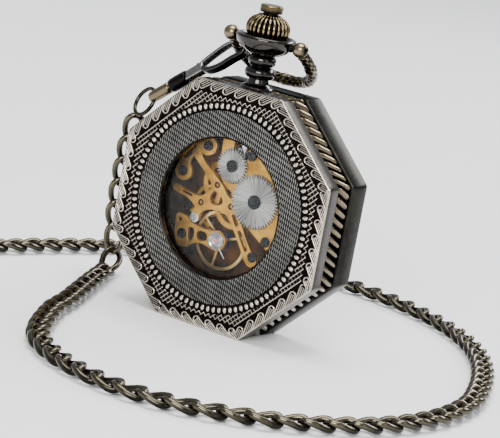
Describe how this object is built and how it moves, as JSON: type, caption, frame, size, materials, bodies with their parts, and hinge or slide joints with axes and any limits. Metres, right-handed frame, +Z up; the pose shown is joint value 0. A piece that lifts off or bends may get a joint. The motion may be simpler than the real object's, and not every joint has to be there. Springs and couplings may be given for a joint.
{
  "type": "pocket watch",
  "caption": "Octagonal double-cover pocket watch with windowed movement, winding crown, swinging bow, snap clasp and long curb chain.",
  "frame": {"origin": "on the table, under the middle of the box round the watch with its bow, without the chain and its clasp", "axes": "+Z up through the crown, -Y out of the back cover, +Y out of the dial side, +X to the right seen from the back"},
  "size_m": [0.1411, 0.1203, 0.063],
  "materials": {
    "bronze_case": "antique bronze plate, rubbed bright on edges",
    "gunmetal_case": "dark gunmetal plate, brushed",
    "aged_bronze": "aged bronze",
    "crystal_glass": "clear polished mineral glass",
    "white_dial": "off-white enamel",
    "gilt_brass": "gilt, fine grained",
    "bright_steel": "sunburst brushed",
    "black_steel": "black polished",
    "blued_steel": "blued",
    "ruby": "polished synthetic ruby"
  },
  "bodies": {
    "root": {"case_band": "bronze_case", "back_hinge_pin": "aged_bronze", "front_hinge_pin": "aged_bronze", "dial_bezel": "bronze_case", "dial_crystal": "crystal_glass", "dial": "white_dial", "movement_ring": "bright_steel", "pendant": "gunmetal_case", "main_plate": "gilt_brass", "barrel_bridge": "gilt_brass", "train_bridge": "gilt_brass", "balance_cock": "gilt_brass", "pallet_cock": "gilt_brass", "bridge_screws": "black_steel", "crown_wheel_screw": "black_steel", "click_spring": "bright_steel", "hairspring": "blued_steel", "balance_jewel": "ruby", "train_jewels": "ruby", "chain": "bronze_case", "chain_ring": "bronze_case", "chain_bar": "bronze_case"},
    "back_cover": {"back_cover": "bronze_case", "back_crystal": "crystal_glass"},
    "front_cover": {"front_cover": "gunmetal_case", "front_crystal": "crystal_glass"},
    "bow": {"bow": "gunmetal_case", "bow_pins": "aged_bronze"},
    "clasp": {"clasp_hook": "gunmetal_case", "clasp_pin": "aged_bronze"},
    "clasp_lever": {"clasp_lever": "bright_steel"},
    "clasp_swivel": {"clasp_swivel": "bronze_case", "clasp_ring": "bronze_case"},
    "stem": {"winding_stem": "bright_steel", "winding_pinion": "bright_steel"},
    "crown": {"crown": "aged_bronze", "crown_square": "bright_steel"},
    "crown_button": {"crown_button": "aged_bronze"},
    "crown_wheel": {"crown_wheel": "bright_steel"},
    "ratchet": {"ratchet_wheel": "bright_steel", "ratchet_screw": "black_steel", "barrel_arbor": "bright_steel"},
    "click": {"click": "bright_steel"},
    "barrel": {"barrel": "gilt_brass"},
    "centre_wheel": {"centre_wheel": "gilt_brass"},
    "third_wheel": {"third_wheel": "gilt_brass"},
    "fourth_wheel": {"fourth_wheel": "gilt_brass"},
    "escape_wheel": {"escape_wheel": "bright_steel"},
    "pallet_fork": {"pallet_fork": "bright_steel"},
    "balance": {"balance_wheel": "gilt_brass"},
    "regulator": {"regulator": "bright_steel"},
    "minute_hand": {"cannon_pinion": "bright_steel", "minute_hand": "blued_steel"},
    "minute_wheel": {"minute_wheel": "gilt_brass"},
    "hour_hand": {"hour_wheel": "gilt_brass", "hour_hand": "blued_steel"},
    "lid_catch": {"lid_catch": "bright_steel"}
  },
  "joints": [
    {"name": "back_cover_hinge", "type": "hinge", "parent": "root", "child": "back_cover", "pos_m": [0, -0.005, 0.0011], "axis": [1, 0, 0], "range_deg": [0, 55]},
    {"name": "front_cover_hinge", "type": "hinge", "parent": "root", "child": "front_cover", "pos_m": [0, 0.00019, 0.0011], "axis": [-1, 0, 0], "range_deg": [0, 75]},
    {"name": "bow_swing", "type": "hinge", "parent": "root", "child": "bow", "pos_m": [0, -0.00238, 0.056], "axis": [1, 0, 0], "range_deg": [0, 30.01]},
    {"name": "clasp_lift", "type": "slide", "parent": "root", "child": "clasp", "axis": [0, 0.3907, 0.9205], "range_m": [0, 0.00264]},
    {"name": "clasp_lever", "type": "hinge", "parent": "clasp", "child": "clasp_lever", "pos_m": [-0.01704, 0.00289, 0.04712], "axis": [0.3874, 0.8253, -0.4108], "range_deg": [0, 18], "stiffness_Nm_per_rad": 0.0008, "springref_deg": -11.46},
    {"name": "clasp_swivel", "type": "hinge", "parent": "clasp", "child": "clasp_swivel", "pos_m": [-0.0082, 0.00161, 0.0529], "axis": [-0.7942, 0.0725, -0.6033], "range_deg": [-15, 15]},
    {"name": "stem_turn", "type": "hinge", "parent": "root", "child": "stem", "pos_m": [0, -0.00238, 0.0235], "axis": [0, 0, 1], "continuous": true},
    {"name": "crown_pull", "type": "slide", "parent": "stem", "child": "crown", "axis": [0, 0, 1], "range_m": [0, 0.0012]},
    {"name": "crown_button", "type": "slide", "parent": "crown", "child": "crown_button", "axis": [0, 0, -1], "range_m": [0, 0.0003], "stiffness_N_per_m": 200, "springref_m": -0.0002},
    {"name": "crown_wheel_turn", "type": "hinge", "parent": "root", "child": "crown_wheel", "pos_m": [-0.0011, -0.00148, 0.0313], "axis": [0, -1, 0], "continuous": true},
    {"name": "ratchet_turn", "type": "hinge", "parent": "root", "child": "ratchet", "pos_m": [0.0053, -0.00148, 0.0258], "axis": [0, -1, 0], "continuous": true},
    {"name": "click_pivot", "type": "hinge", "parent": "root", "child": "click", "pos_m": [0.0116, -0.00148, 0.0298], "axis": [0, 1, 0], "range_deg": [0, 8], "stiffness_Nm_per_rad": 0.00001, "springref_deg": -5.73},
    {"name": "fourth_turn", "type": "hinge", "parent": "root", "child": "fourth_wheel", "pos_m": [-0.0069, -0.00148, 0.0226], "axis": [0, -1, 0], "continuous": true},
    {"name": "third_turn", "type": "hinge", "parent": "root", "child": "third_wheel", "pos_m": [-0.0039, -0.00148, 0.0268], "axis": [0, -1, 0], "continuous": true},
    {"name": "centre_turn", "type": "hinge", "parent": "root", "child": "centre_wheel", "pos_m": [0, -0.00148, 0.0235], "axis": [0, -1, 0], "continuous": true},
    {"name": "barrel_turn", "type": "hinge", "parent": "root", "child": "barrel", "pos_m": [0.0053, -0.00148, 0.0258], "axis": [0, -1, 0], "continuous": true},
    {"name": "escape_turn", "type": "hinge", "parent": "root", "child": "escape_wheel", "pos_m": [-0.0078, -0.00148, 0.0193], "axis": [0, -1, 0], "continuous": true},
    {"name": "pallet_rock", "type": "hinge", "parent": "root", "child": "pallet_fork", "pos_m": [-0.0051, -0.00148, 0.01785], "axis": [0, -1, 0], "range_deg": [-5, 5]},
    {"name": "balance_swing", "type": "hinge", "parent": "root", "child": "balance", "pos_m": [-0.0019, -0.00148, 0.01615], "axis": [0, -1, 0], "range_deg": [-150, 150], "stiffness_Nm_per_rad": 0.00000075},
    {"name": "regulator_shift", "type": "hinge", "parent": "root", "child": "regulator", "pos_m": [-0.0019, -0.00148, 0.01615], "axis": [0, -1, 0], "range_deg": [-12, 12]},
    {"name": "minute_hand_turn", "type": "hinge", "parent": "root", "child": "minute_hand", "pos_m": [0, -0.00148, 0.0235], "axis": [0, 1, 0], "continuous": true},
    {"name": "minute_wheel_turn", "type": "hinge", "parent": "root", "child": "minute_wheel", "pos_m": [0.0031, -0.00148, 0.0223], "axis": [0, 1, 0], "continuous": true},
    {"name": "hour_hand_turn", "type": "hinge", "parent": "root", "child": "hour_hand", "pos_m": [0, -0.00148, 0.0235], "axis": [0, 1, 0], "continuous": true},
    {"name": "lid_catch_slide", "type": "slide", "parent": "root", "child": "lid_catch", "axis": [0, 0, -1], "range_m": [0, 0.0004], "stiffness_N_per_m": 100, "springref_m": -0.0002}
  ],
  "couplings": [
    {"joint": "bow_swing", "follows": "clasp_lift", "rad_per_m": 198.34},
    {"joint": "crown_wheel_turn", "follows": "stem_turn", "ratio": -0.33333},
    {"joint": "ratchet_turn", "follows": "stem_turn", "ratio": 0.21429},
    {"joint": "third_turn", "follows": "fourth_turn", "ratio": -0.13333},
    {"joint": "centre_turn", "follows": "fourth_turn", "ratio": 0.016667},
    {"joint": "barrel_turn", "follows": "fourth_turn", "ratio": -0.002381},
    {"joint": "escape_turn", "follows": "fourth_turn", "ratio": -10},
    {"joint": "minute_wheel_turn", "follows": "minute_hand_turn", "ratio": -0.33333},
    {"joint": "hour_hand_turn", "follows": "minute_hand_turn", "ratio": 0.083333}
  ]
}
